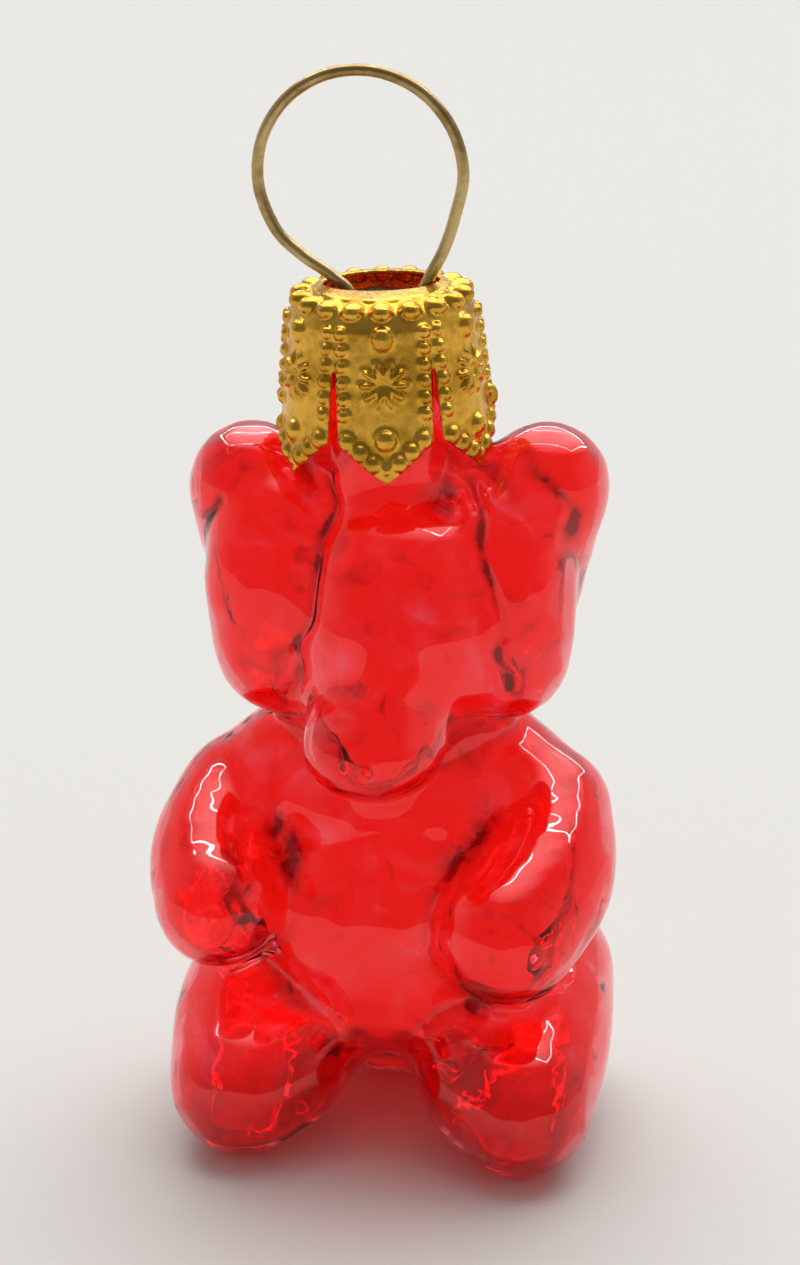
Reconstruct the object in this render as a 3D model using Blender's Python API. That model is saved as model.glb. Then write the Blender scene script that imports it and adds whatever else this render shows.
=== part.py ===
"""Hollow blown-glass bear ornament with a stamped metal cap and a wire hanger.

Metres, +Z up, the face towards -Y. The origin is on the flat spot that the
bear sits on, below the axis of its neck.
"""

import math

import bmesh
import bpy
from mathutils import Matrix, Vector

MM = 0.001

# Glass wall, and the fineness of its surface
WALL = 0.75 * MM
VOXEL = 0.42 * MM
SMOOTH_ROUNDS = 7
OUTER_TRIANGLES = 3800
INNER_TRIANGLES = 1900

# Neck of the glass, under the cap
NECK_CENTRE_X = -1.0 * MM
NECK_RADIUS = 4.7 * MM
NECK_TOP = 57.7 * MM
NECK_FOOT = 44.0 * MM
HOLLOW_OVERSHOOT = 2.0 * MM

# The base: how far below the floor plane the cutting block reaches
FLOOR_BLOCK = 40.0 * MM

# Cap: a thin stamped cup with a hole on top and six lappets
CAP_SHEET = 0.3 * MM
CAP_LAPPETS = 6
CAP_COLUMNS = 8
CAP_FACING = math.radians(9.0)
CAP_LEAN = math.radians(-2.0)
CAP_CENTRE_X = -1.0 * MM
CAP_PIVOT_Z = 52.0 * MM
CAP_HOLE_RADIUS = 3.75 * MM
CAP_HOLE_Z = 58.8 * MM
CAP_SHOULDER_RADIUS = 5.6 * MM
CAP_SHOULDER_Z = 58.3 * MM
CAP_SLIT_Z = 56.1 * MM
CAP_CORNER_Z = 50.5 * MM
CAP_TIP_Z = 48.2 * MM
CAP_SKIRT_TOP_RADIUS = 6.25 * MM
CAP_SKIRT_END_RADIUS = 7.35 * MM
LAPPET_WIDTH = 6.6 * MM
LAPPET_ROWS = 5
BEAD_HEIGHT = 0.22 * MM

# Hanger: round wire, a loop with two legs that stand in the neck
WIRE_RADIUS = 0.4 * MM
WIRE_RESOLUTION = 2
LOOP_RADIUS = 6.8 * MM
LOOP_CENTRE = Vector((-2.65, 0.0, 66.0)) * MM
LOOP_START = math.radians(214.0)
LOOP_END = math.radians(-24.0)
LOOP_STEPS = 9
LEFT_LEG = ((-3.9, 0.0, 50.5), (-3.8, 0.0, 55.0), (-3.25, 0.0, 57.75), (-4.6, 0.0, 59.2),
            (-6.55, 0.0, 60.5))
RIGHT_LEG = ((1.85, 0.0, 50.5), (1.5, 0.0, 55.0), (1.35, 0.0, 57.7), (1.95, 0.0, 59.3),
             (2.85, 0.0, 61.1))
ROUTE_STEPS = 3

# Materials: base colour, roughness, metallic, transmission
GLASS = ("red_glass", (0.84, 0.02, 0.02, 1.0), 0.04, 0.0, 1.0)
GOLD = ("stamped_gold", (0.72, 0.48, 0.12, 1.0), 0.32, 1.0, 0.0)
BRASS = ("aged_brass_wire", (0.42, 0.28, 0.10, 1.0), 0.4, 1.0, 0.0)


def clear_scene():
    """Removes what an empty file starts with."""
    for item in list(bpy.data.objects):
        bpy.data.objects.remove(item, do_unlink=True)


def add_object(name, data):
    """Links a new object that holds the given mesh or curve."""
    item = bpy.data.objects.new(name, data)
    bpy.context.scene.collection.objects.link(item)
    return item


def finish(item, spec):
    """Gives an object its own Principled material."""
    name, colour, roughness, metallic, transmission = spec
    material = bpy.data.materials.new(name)
    material.use_nodes = True
    shader = material.node_tree.nodes["Principled BSDF"]
    shader.inputs["Base Color"].default_value = colour
    shader.inputs["Roughness"].default_value = roughness
    shader.inputs["Metallic"].default_value = metallic
    shader.inputs["Transmission Weight"].default_value = transmission
    item.data.materials.append(material)


def spline_point(points, position):
    """A point on the smooth curve through the given points; whole numbers hit them."""
    last = len(points) - 1
    k = min(int(position), last - 1)
    f = position - k
    before = points[max(k - 1, 0)]
    start = points[k]
    end = points[k + 1]
    after = points[min(k + 2, last)]
    straight = 2.0 * start + (end - before) * f
    bend = (2.0 * before - 5.0 * start + 4.0 * end - after) * f ** 2
    twist = (3.0 * start - before - 3.0 * end + after) * f ** 3
    return 0.5 * (straight + bend + twist)


class Form:
    """Balls and limbs that overlap and are fused into one skin, drawn in by an inset."""

    def __init__(self, inset):
        self.mesh = bmesh.new()
        self.inset = inset
        self.ball = bpy.data.meshes.new("ball")
        template = bmesh.new()
        bmesh.ops.create_uvsphere(template, u_segments=32, v_segments=20, radius=1.0)
        template.to_mesh(self.ball)
        template.free()

    def add_ball(self, centre, sizes):
        """Adds an ellipsoid; centre and half sizes in millimetres."""
        radii = [max(size * MM - self.inset, 0.2 * MM) for size in sizes]
        piece = self.ball.copy()
        place = Matrix.Translation(Vector(centre) * MM)
        piece.transform(place @ Matrix.Diagonal((*radii, 1.0)))
        self.mesh.from_mesh(piece)
        bpy.data.meshes.remove(piece)

    def add_limb(self, points, radii, steps=8):
        """Adds balls along a smooth curve, with a radius at each of its points."""
        path = [Vector(point) for point in points]
        for step in range(steps + 1):
            position = (len(path) - 1) * step / steps
            k = min(int(position), len(path) - 2)
            ease = position - k
            ease = ease * ease * (3.0 - 2.0 * ease)
            radius = radii[k] * (1.0 - ease) + radii[k + 1] * ease
            self.add_ball(spline_point(path, position), (radius, radius, radius))

    def add_neck(self, top):
        """Adds the upright tube of the neck."""
        centre = Vector((NECK_CENTRE_X, 0.0, 0.5 * (top + NECK_FOOT)))
        radius = NECK_RADIUS - self.inset
        bmesh.ops.create_cone(self.mesh, cap_ends=True, segments=40, radius1=radius,
                              radius2=radius, depth=top - NECK_FOOT,
                              matrix=Matrix.Translation(centre))

    def to_object(self, name):
        """Returns the balls as one object."""
        data = bpy.data.meshes.new(name)
        self.mesh.to_mesh(data)
        self.mesh.free()
        bpy.data.meshes.remove(self.ball)
        return add_object(name, data)


def add_body(form):
    """Barrel of the body with its belly and sloping shoulders."""
    form.add_ball((0.0, 1.8, 15.6), (12.2, 9.6, 14.0))
    form.add_ball((0.0, -1.0, 14.4), (10.2, 9.4, 10.4))
    form.add_ball((0.0, 4.6, 7.8), (10.0, 6.4, 8.5))
    form.add_ball((-0.2, 0.6, 22.0), (9.6, 8.4, 7.6))
    form.add_ball((-7.2, 0.4, 23.4), (5.7, 5.6, 5.5))
    form.add_ball((6.8, 0.4, 23.4), (5.6, 5.6, 5.4))
    form.add_ball((-0.3, 1.4, 28.2), (8.8, 6.9, 8.0))


def add_head(form):
    """Brow and face between two cheeks, and the shoulders of glass beside the neck."""
    form.add_ball((-0.4, 1.4, 37.6), (11.2, 7.6, 9.2))
    form.add_ball((0.5, -3.0, 38.9), (6.7, 6.3, 6.3))
    form.add_ball((0.8, -3.5, 36.0), (7.3, 7.3, 7.3))
    form.add_ball((-5.6, 0.6, 45.2), (2.7, 2.7, 2.9))
    form.add_ball((4.4, 0.8, 45.7), (2.6, 2.6, 2.8))
    form.add_limb(((-8.2, -1.6, 42.3), (-8.4, -2.4, 38.6), (-7.5, -2.3, 34.2)),
                  (4.3, 4.6, 4.9))
    form.add_limb(((7.6, -1.6, 42.3), (7.8, -2.4, 38.6), (7.2, -2.3, 34.6)),
                  (4.3, 4.6, 4.9))


def add_ears(form):
    """Round ears that run down into the back of the head."""
    form.add_limb(((-10.15, 0.5, 44.45), (-9.9, 1.4, 41.2), (-8.4, 2.2, 36.0)),
                  (4.45, 4.25, 4.2))
    form.add_limb(((9.8, 0.8, 45.2), (9.0, 1.6, 41.4), (7.6, 2.2, 36.0)), (4.4, 4.1, 4.2))


def add_muzzle(form):
    """Broad, low muzzle below the brow, with a soft bump of a nose above it."""
    form.add_ball((-0.2, -5.0, 32.0), (5.2, 5.4, 4.8))
    form.add_ball((-0.3, -9.0, 29.9), (4.95, 5.5, 3.9))
    form.add_ball((1.1, -10.3, 34.2), (2.0, 1.7, 1.6))


def add_arms(form):
    """Arms held out in front of the chest; the right one is lower and larger."""
    form.add_limb(((-10.8, -0.2, 21.8), (-12.0, -4.6, 19.4), (-11.0, -8.6, 17.5)),
                  (4.8, 4.7, 4.5))
    form.add_limb(((10.2, -0.6, 22.3), (10.7, -5.2, 19.4), (8.8, -9.6, 17.0)),
                  (4.7, 4.9, 4.9))


def add_legs(form):
    """Thighs out of the belly, and short legs that point forward with rounded feet."""
    form.add_limb(((-4.4, -4.4, 7.7), (-6.9, -8.4, 5.5)), (3.8, 4.6), steps=5)
    form.add_limb(((4.2, -4.4, 8.1), (7.4, -8.9, 5.5)), (3.7, 4.7), steps=5)
    form.add_limb(((-8.6, 2.6, 8.2), (-9.3, -3.6, 7.0), (-9.3, -9.8, 4.9)), (6.2, 6.0, 5.2))
    form.add_limb(((8.8, 2.6, 8.4), (9.5, -3.6, 7.2), (9.8, -10.2, 4.9)), (6.2, 6.0, 5.2))


def bear_form(name, inset, neck_top):
    """Returns the whole bear as overlapping balls."""
    form = Form(inset)
    add_body(form)
    add_head(form)
    add_ears(form)
    add_muzzle(form)
    add_arms(form)
    add_legs(form)
    form.add_neck(neck_top)
    return form.to_object(name)


def fuse(item, triangles):
    """Fuses overlapping balls into one smooth skin with about so many triangles."""
    remesh = item.modifiers.new("fuse", "REMESH")
    remesh.mode = "VOXEL"
    remesh.voxel_size = VOXEL
    smooth = item.modifiers.new("soften", "SMOOTH")
    smooth.factor = 0.5
    smooth.iterations = SMOOTH_ROUNDS
    bpy.context.view_layer.update()
    fine = item.evaluated_get(bpy.context.evaluated_depsgraph_get())
    faces = sum(len(polygon.vertices) - 2 for polygon in fine.data.polygons)
    decimate = item.modifiers.new("thin_out", "DECIMATE")
    decimate.ratio = min(triangles / faces, 1.0)


def settle(item):
    """Keeps the evaluated mesh as the object's own, shaded smooth."""
    graph = bpy.context.evaluated_depsgraph_get()
    data = bpy.data.meshes.new_from_object(item.evaluated_get(graph))
    item.modifiers.clear()
    item.data = data
    data.shade_smooth()


def hide_cutter(item):
    """Marks an object that only cuts another."""
    item.hide_render = True
    item.display_type = "WIRE"


def cut(item, cutter):
    """Takes one closed object out of another."""
    boolean = item.modifiers.new("cut", "BOOLEAN")
    boolean.operation = "DIFFERENCE"
    boolean.solver = "EXACT"
    boolean.object = cutter


def make_block(name, low, high):
    """Returns a box between two corners."""
    mesh = bmesh.new()
    size = Vector(high) - Vector(low)
    centre = 0.5 * (Vector(high) + Vector(low))
    bmesh.ops.create_cube(mesh, size=1.0,
                          matrix=Matrix.Translation(centre) @ Matrix.Diagonal((*size, 1.0)))
    data = bpy.data.meshes.new(name)
    mesh.to_mesh(data)
    mesh.free()
    return add_object(name, data)


def make_glass_bear():
    """Hollow glass bear, open at the neck, with flats that it stands on."""
    bear = bear_form("glass_bear", 0.0, NECK_TOP)
    fuse(bear, OUTER_TRIANGLES)
    settle(bear)
    hollow = bear_form("hollow_cutter", WALL, NECK_TOP + HOLLOW_OVERSHOOT)
    fuse(hollow, INNER_TRIANGLES)
    settle(hollow)
    hide_cutter(hollow)
    floor = make_block("floor_cutter", (-FLOOR_BLOCK, -FLOOR_BLOCK, -FLOOR_BLOCK),
                       (FLOOR_BLOCK, FLOOR_BLOCK, 0.0))
    hide_cutter(floor)
    cut(bear, floor)
    cut(bear, hollow)
    finish(bear, GLASS)
    return bear


def cap_radius(z):
    """Radius of the cap's skirt, which flares a little towards its lower edge."""
    share = (CAP_SHOULDER_Z - z) / (CAP_SHOULDER_Z - CAP_TIP_Z)
    return CAP_SKIRT_TOP_RADIUS + (CAP_SKIRT_END_RADIUS - CAP_SKIRT_TOP_RADIUS) * share


def cap_ring(mesh, radius, z, bead_height=0.0):
    """Adds a closed ring of points; beads swell every second point."""
    ring = []
    count = CAP_LAPPETS * CAP_COLUMNS
    for i in range(count):
        angle = CAP_FACING + math.tau * (i + 0.5 * CAP_COLUMNS) / count
        swell = bead_height * (i % 2)
        point = ((radius + swell) * math.sin(angle), -(radius + swell) * math.cos(angle), z + swell)
        ring.append(mesh.verts.new(point))
    return ring


def join_rings(mesh, upper, lower):
    """Fills the band between two closed rings."""
    count = len(upper)
    for i in range(count):
        j = (i + 1) % count
        mesh.faces.new((upper[i], lower[i], lower[j], upper[j]))


def add_lappet(mesh, index, top_row):
    """Adds one pointed lappet below the ring, its sides parallel so the slits widen."""
    middle = CAP_FACING + math.tau * (index + 1) / CAP_LAPPETS
    above = top_row
    for row in range(1, LAPPET_ROWS + 1):
        share = row / LAPPET_ROWS
        below = []
        for column in range(CAP_COLUMNS + 1):
            across = 2.0 * column / CAP_COLUMNS - 1.0
            end_z = CAP_TIP_Z + (CAP_CORNER_Z - CAP_TIP_Z) * abs(across)
            z = CAP_SLIT_Z + (end_z - CAP_SLIT_Z) * share
            radius = cap_radius(z)
            angle = middle + across * 0.5 * LAPPET_WIDTH / radius
            below.append(mesh.verts.new((radius * math.sin(angle), -radius * math.cos(angle), z)))
        for column in range(CAP_COLUMNS):
            mesh.faces.new((above[column], below[column], below[column + 1], above[column + 1]))
        above = below


def make_cap():
    """Stamped cap: a raised ring round the hole, a beaded shoulder and six lappets."""
    mesh = bmesh.new()
    hole = cap_ring(mesh, CAP_HOLE_RADIUS, CAP_HOLE_Z)
    crown = cap_ring(mesh, 0.5 * (CAP_HOLE_RADIUS + CAP_SHOULDER_RADIUS), CAP_HOLE_Z - 0.1 * MM)
    shoulder = cap_ring(mesh, CAP_SHOULDER_RADIUS, CAP_SHOULDER_Z - CAP_SHEET, BEAD_HEIGHT)
    skirt_z = CAP_SHOULDER_Z - 0.9 * MM
    skirt = cap_ring(mesh, cap_radius(skirt_z), skirt_z)
    slit = cap_ring(mesh, cap_radius(CAP_SLIT_Z), CAP_SLIT_Z)
    for upper, lower in ((hole, crown), (crown, shoulder), (shoulder, skirt), (skirt, slit)):
        join_rings(mesh, upper, lower)
    for index in range(CAP_LAPPETS):
        start = index * CAP_COLUMNS
        row = [slit[(start + column) % len(slit)] for column in range(CAP_COLUMNS + 1)]
        add_lappet(mesh, index, row)
    bmesh.ops.recalc_face_normals(mesh, faces=mesh.faces)
    data = bpy.data.meshes.new("cap")
    mesh.to_mesh(data)
    mesh.free()
    data.shade_smooth()
    cap = add_object("cap", data)
    cap.location = (CAP_CENTRE_X, 0.0, CAP_PIVOT_Z)
    data.transform(Matrix.Translation((0.0, 0.0, -CAP_PIVOT_Z)))
    cap.rotation_euler = (0.0, CAP_LEAN, 0.0)
    sheet = cap.modifiers.new("sheet", "SOLIDIFY")
    sheet.thickness = CAP_SHEET
    sheet.offset = -1.0
    finish(cap, GOLD)
    return cap


def hanger_route():
    """Points of the wire: up one leg, round the loop and down the other leg."""
    loop = []
    for step in range(LOOP_STEPS + 1):
        angle = LOOP_START + (LOOP_END - LOOP_START) * step / LOOP_STEPS
        loop.append(LOOP_CENTRE + LOOP_RADIUS * Vector((math.cos(angle), 0.0, math.sin(angle))))
    left = [Vector(point) * MM for point in LEFT_LEG]
    right = [Vector(point) * MM for point in RIGHT_LEG]
    knots = [*left, *loop, *reversed(right)]
    route = []
    for k in range(len(knots) - 1):
        route += [spline_point(knots, k + step / ROUTE_STEPS) for step in range(ROUTE_STEPS)]
    route.append(knots[-1])
    return route


def make_hanger():
    """Wire loop whose two legs go down through the cap into the neck."""
    data = bpy.data.curves.new("hanger", "CURVE")
    data.dimensions = "3D"
    data.bevel_depth = WIRE_RADIUS
    data.bevel_resolution = WIRE_RESOLUTION
    data.use_fill_caps = True
    route = hanger_route()
    wire = data.splines.new("POLY")
    wire.points.add(len(route) - 1)
    for point, place in zip(wire.points, route):
        point.co = (*place, 1.0)
    hanger = add_object("hanger", data)
    finish(hanger, BRASS)
    return hanger


def centre_on_origin(items):
    """Moves the pieces so that the origin is below the middle of their common box."""
    bpy.context.view_layer.update()
    graph = bpy.context.evaluated_depsgraph_get()
    low = Vector((math.inf, math.inf, math.inf))
    high = -low
    for item in items:
        shape = item.evaluated_get(graph)
        data = shape.to_mesh()
        for vertex in data.vertices:
            place = item.matrix_world @ vertex.co
            low = Vector(map(min, low, place))
            high = Vector(map(max, high, place))
        shape.to_mesh_clear()
    shift = -0.5 * (low + high)
    shift.z = 0.0
    for item in bpy.data.objects:
        item.location += shift


def main():
    clear_scene()
    centre_on_origin([make_glass_bear(), make_cap(), make_hanger()])


main()
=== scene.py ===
"""Blown-glass bear ornament: red glass, a stamped gold cap, a brass wire loop and a plain studio.

Lengths in the classes are millimetres in the form's own frame, whose upright axis
runs through the neck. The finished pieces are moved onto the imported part.
"""

from __future__ import annotations

import logging
import math
from dataclasses import dataclass, field
from enum import Enum
from typing import Callable

import bmesh
import bpy
import numpy as np
from mathutils import Matrix, Vector

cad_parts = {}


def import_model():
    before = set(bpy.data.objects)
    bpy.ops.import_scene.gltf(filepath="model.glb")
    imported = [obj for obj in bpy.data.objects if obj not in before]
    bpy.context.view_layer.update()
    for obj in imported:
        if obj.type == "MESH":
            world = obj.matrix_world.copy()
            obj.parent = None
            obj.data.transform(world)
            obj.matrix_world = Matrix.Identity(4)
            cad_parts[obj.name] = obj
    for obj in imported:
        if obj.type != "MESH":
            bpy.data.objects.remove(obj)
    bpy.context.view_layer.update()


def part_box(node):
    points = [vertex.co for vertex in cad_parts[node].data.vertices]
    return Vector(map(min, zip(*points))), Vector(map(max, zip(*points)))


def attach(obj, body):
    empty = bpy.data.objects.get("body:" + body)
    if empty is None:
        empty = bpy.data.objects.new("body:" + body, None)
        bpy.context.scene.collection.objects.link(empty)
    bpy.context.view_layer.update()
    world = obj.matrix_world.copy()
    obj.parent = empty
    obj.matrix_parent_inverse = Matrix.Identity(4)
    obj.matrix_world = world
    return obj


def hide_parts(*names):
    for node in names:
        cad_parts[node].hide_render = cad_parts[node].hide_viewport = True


MM = 0.001
# attribute that holds the painted shade of the inner skin's valleys and creases
CREASE_SHADE = "painted_crease_shade"
MISSED = "missed"
LOG = logging.getLogger("ornament")

Triple = tuple[float, float, float]


class Side(Enum):
    """Which side of the bear a paired piece belongs to, as seen from the front."""

    LEFT = -1
    RIGHT = 1


class Node(Enum):
    """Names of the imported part's nodes."""

    BEAR = "glass_bear"
    CAP = "cap"
    HANGER = "hanger"


# ---------------------------------------------------------------- mesh tools


def deselect_all() -> None:
    """Clears the selection, so that the next operator acts only on what is chosen."""
    bpy.ops.object.select_all(action="DESELECT")


def make_active(item: bpy.types.Object) -> None:
    """Selects one object alone and makes it the active one."""
    deselect_all()
    item.select_set(True)
    bpy.context.view_layer.objects.active = item


def apply_modifier(item: bpy.types.Object, kind: str, **settings: object) -> None:
    """Adds a modifier with the given settings and applies it at once.

    Args:
        item: The object to change.
        kind: The modifier's type, such as "REMESH".
        **settings: Values for the modifier's own properties.
    """
    make_active(item)
    modifier = item.modifiers.new(kind.lower(), kind)
    for name, value in settings.items():
        setattr(modifier, name, value)
    bpy.ops.object.modifier_apply(modifier=modifier.name)


def join_pieces(pieces: list[bpy.types.Object], name: str) -> bpy.types.Object:
    """Joins several meshes into one object.

    Args:
        pieces: The objects to join; the first one is kept.
        name: The name of the joined object and its mesh.

    Returns:
        The joined object.
    """
    deselect_all()
    for piece in pieces:
        piece.select_set(True)
    bpy.context.view_layer.objects.active = pieces[0]
    bpy.ops.object.join()
    pieces[0].name = name
    pieces[0].data.name = name
    return pieces[0]


def settle_place(item: bpy.types.Object) -> None:
    """Moves an object's place, turn and scale into its mesh."""
    make_active(item)
    bpy.ops.object.transform_apply(location=True, rotation=True, scale=True)


def copy_at(template: bpy.types.Object, place: Matrix) -> bpy.types.Object:
    """Copies an object, with its own mesh, to a place.

    Args:
        template: The object to copy.
        place: The transform of the copy in the scene.

    Returns:
        The copy.
    """
    piece = template.copy()
    piece.data = template.data.copy()
    piece.data.transform(place @ template.matrix_world)
    piece.matrix_world = Matrix.Identity(4)
    bpy.context.scene.collection.objects.link(piece)
    return piece


def in_edit_mode(item: bpy.types.Object, chosen: Callable[[np.ndarray], np.ndarray] | None,
                 work: Callable[[], object]) -> None:
    """Runs edit-mode operators on the chosen points of one mesh.

    Args:
        item: The mesh object.
        chosen: Says by their places, in millimetres, which points are selected;
            None selects all.
        work: The operators to run.
    """
    make_active(item)
    bpy.ops.object.mode_set(mode="EDIT")
    bpy.ops.mesh.select_mode(type="VERT")
    bpy.ops.mesh.select_all(action="SELECT" if chosen is None else "DESELECT")
    if chosen is not None:
        bpy.ops.object.mode_set(mode="OBJECT")
        item.data.vertices.foreach_set("select", chosen(read_points(item.data)[0]))
        bpy.ops.object.mode_set(mode="EDIT")
    work()
    bpy.ops.object.mode_set(mode="OBJECT")


def read_points(mesh: bpy.types.Mesh) -> tuple[np.ndarray, np.ndarray]:
    """Reads a mesh's points.

    Args:
        mesh: The mesh.

    Returns:
        The place of each point, in millimetres, and its normal.
    """
    places = np.empty(len(mesh.vertices) * 3)
    mesh.vertices.foreach_get("co", places)
    normals = np.empty(len(mesh.vertices) * 3, dtype=np.float32)
    mesh.vertex_normals.foreach_get("vector", normals)
    return places.reshape(-1, 3) / MM, normals.reshape(-1, 3)


def trim_above(item: bpy.types.Object, height: float) -> None:
    """Cuts a mesh off level at a height and leaves it open there."""
    in_edit_mode(item, None, lambda: bpy.ops.mesh.bisect(
        plane_co=(0.0, 0.0, height), plane_no=(0.0, 0.0, 1.0), clear_outer=True))


def smooth_blend(value: float) -> float:
    """Eases a share from 0 to 1 in and out."""
    value = min(max(value, 0.0), 1.0)
    return value * value * (3.0 - 2.0 * value)


def curve_point(points: list[Vector], position: float) -> Vector:
    """Reads the smooth curve through the given points.

    Args:
        points: The points that the curve passes through.
        position: Where on it, counted in points from the first.

    Returns:
        The place on the curve.
    """
    last = len(points) - 1
    k = min(int(position), last - 1)
    f = position - k
    before = points[max(k - 1, 0)]
    start = points[k]
    end = points[k + 1]
    after = points[min(k + 2, last)]
    straight = 2.0 * start + (end - before) * f
    bend = (2.0 * before - 5.0 * start + 4.0 * end - after) * f ** 2
    twist = (3.0 * start - before - 3.0 * end + after) * f ** 3
    return 0.5 * (straight + bend + twist)


def box_middle(node: Node) -> Vector:
    """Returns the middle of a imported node's box."""
    low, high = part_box(node.value)
    return 0.5 * (Vector(low) + Vector(high))


# ------------------------------------------------------------------ finishes


def new_material(name: str) -> tuple[bpy.types.Material, bpy.types.ShaderNode]:
    """Makes a material.

    Args:
        name: The material's name.

    Returns:
        The material and its Principled shader.
    """
    material = bpy.data.materials.new(name)
    material.use_nodes = True
    return material, material.node_tree.nodes["Principled BSDF"]


def add_node(material: bpy.types.Material, kind: str, **values: object) -> bpy.types.ShaderNode:
    """Adds a shader node and sets its inputs by name.

    Args:
        material: The material that gets the node.
        kind: The node's type.
        **values: Input values; underscores stand for spaces.

    Returns:
        The node.
    """
    node = material.node_tree.nodes.new(kind)
    for name, value in values.items():
        node.inputs[name.replace("_", " ")].default_value = value
    return node


def add_ramp(material: bpy.types.Material,
             stops: list[tuple[float, tuple[float, ...]]]) -> bpy.types.ShaderNode:
    """Adds a colour ramp.

    Args:
        material: The material that gets the ramp.
        stops: Position and colour of each stop, in order.

    Returns:
        The ramp node.
    """
    node = material.node_tree.nodes.new("ShaderNodeValToRGB")
    ramp = node.color_ramp
    while len(ramp.elements) < len(stops):
        ramp.elements.new(0.5)
    for element, (position, colour) in zip(ramp.elements, stops):
        element.position = position
        element.color = colour if len(colour) == 4 else (*colour, 1.0)
    return node


def link(material: bpy.types.Material, source: bpy.types.NodeSocket,
         target: bpy.types.NodeSocket) -> None:
    """Joins two sockets."""
    material.node_tree.links.new(source, target)


class HandWaver:
    """Shader group for the faint waves and pits that handwork leaves in a surface."""

    _group: bpy.types.NodeTree | None = None

    @classmethod
    def group(cls) -> bpy.types.NodeTree:
        """Returns the group, built on first use: coordinates in, waves and mottling out."""
        if cls._group is None:
            cls._group = cls._build()
        return cls._group

    @staticmethod
    def _build() -> bpy.types.NodeTree:
        """Builds the group.

        Returns:
            The node tree with sockets Vector, Wave Scale, Pit Scale, Pit Share in
            and Height and Mottle out.
        """
        tree = bpy.data.node_groups.new("hand_waves", "ShaderNodeTree")
        face = tree.interface
        face.new_socket(name="Vector", in_out="INPUT", socket_type="NodeSocketVector")
        for name, value in (("Wave Scale", 200.0), ("Pit Scale", 900.0), ("Pit Share", 0.2)):
            socket = face.new_socket(name=name, in_out="INPUT", socket_type="NodeSocketFloat")
            socket.default_value = value
        for name in ("Height", "Mottle"):
            face.new_socket(name=name, in_out="OUTPUT", socket_type="NodeSocketFloat")
        start = tree.nodes.new("NodeGroupInput")
        end = tree.nodes.new("NodeGroupOutput")
        wave = tree.nodes.new("ShaderNodeTexNoise")
        wave.inputs["Detail"].default_value = 2.0
        pit = tree.nodes.new("ShaderNodeTexNoise")
        pit.inputs["Detail"].default_value = 4.0
        mix = tree.nodes.new("ShaderNodeMix")
        tree.links.new(start.outputs["Vector"], wave.inputs["Vector"])
        tree.links.new(start.outputs["Vector"], pit.inputs["Vector"])
        tree.links.new(start.outputs["Wave Scale"], wave.inputs["Scale"])
        tree.links.new(start.outputs["Pit Scale"], pit.inputs["Scale"])
        tree.links.new(start.outputs["Pit Share"], mix.inputs["Factor"])
        tree.links.new(wave.outputs[0], mix.inputs["A"])
        tree.links.new(pit.outputs[0], mix.inputs["B"])
        tree.links.new(mix.outputs["Result"], end.inputs["Height"])
        tree.links.new(pit.outputs[0], end.inputs["Mottle"])
        return tree

    @classmethod
    def place(cls, material: bpy.types.Material, wave: float, pit: float,
              share: float) -> bpy.types.ShaderNode:
        """Puts the group into a material on object coordinates.

        Args:
            material: The material that gets it.
            wave: Scale of the slow waves.
            pit: Scale of the fine pits.
            share: How much of the height is pits.

        Returns:
            The group node.
        """
        node = material.node_tree.nodes.new("ShaderNodeGroup")
        node.node_tree = cls.group()
        node.inputs["Wave Scale"].default_value = wave
        node.inputs["Pit Scale"].default_value = pit
        node.inputs["Pit Share"].default_value = share
        place = material.node_tree.nodes.new("ShaderNodeTexCoord")
        link(material, place.outputs["Object"], node.inputs["Vector"])
        return node


def add_bump(material: bpy.types.Material, shader: bpy.types.ShaderNode,
             height: bpy.types.NodeSocket, strength: float, distance: float) -> None:
    """Lets a height disturb the shader's normal.

    Args:
        material: The material.
        shader: Its Principled shader.
        height: The socket that gives the height.
        strength: Strength of the bump.
        distance: Depth of the bump in metres.
    """
    bump = add_node(material, "ShaderNodeBump", Strength=strength, Distance=distance)
    link(material, height, bump.inputs["Height"])
    link(material, bump.outputs["Normal"], shader.inputs["Normal"])


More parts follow.
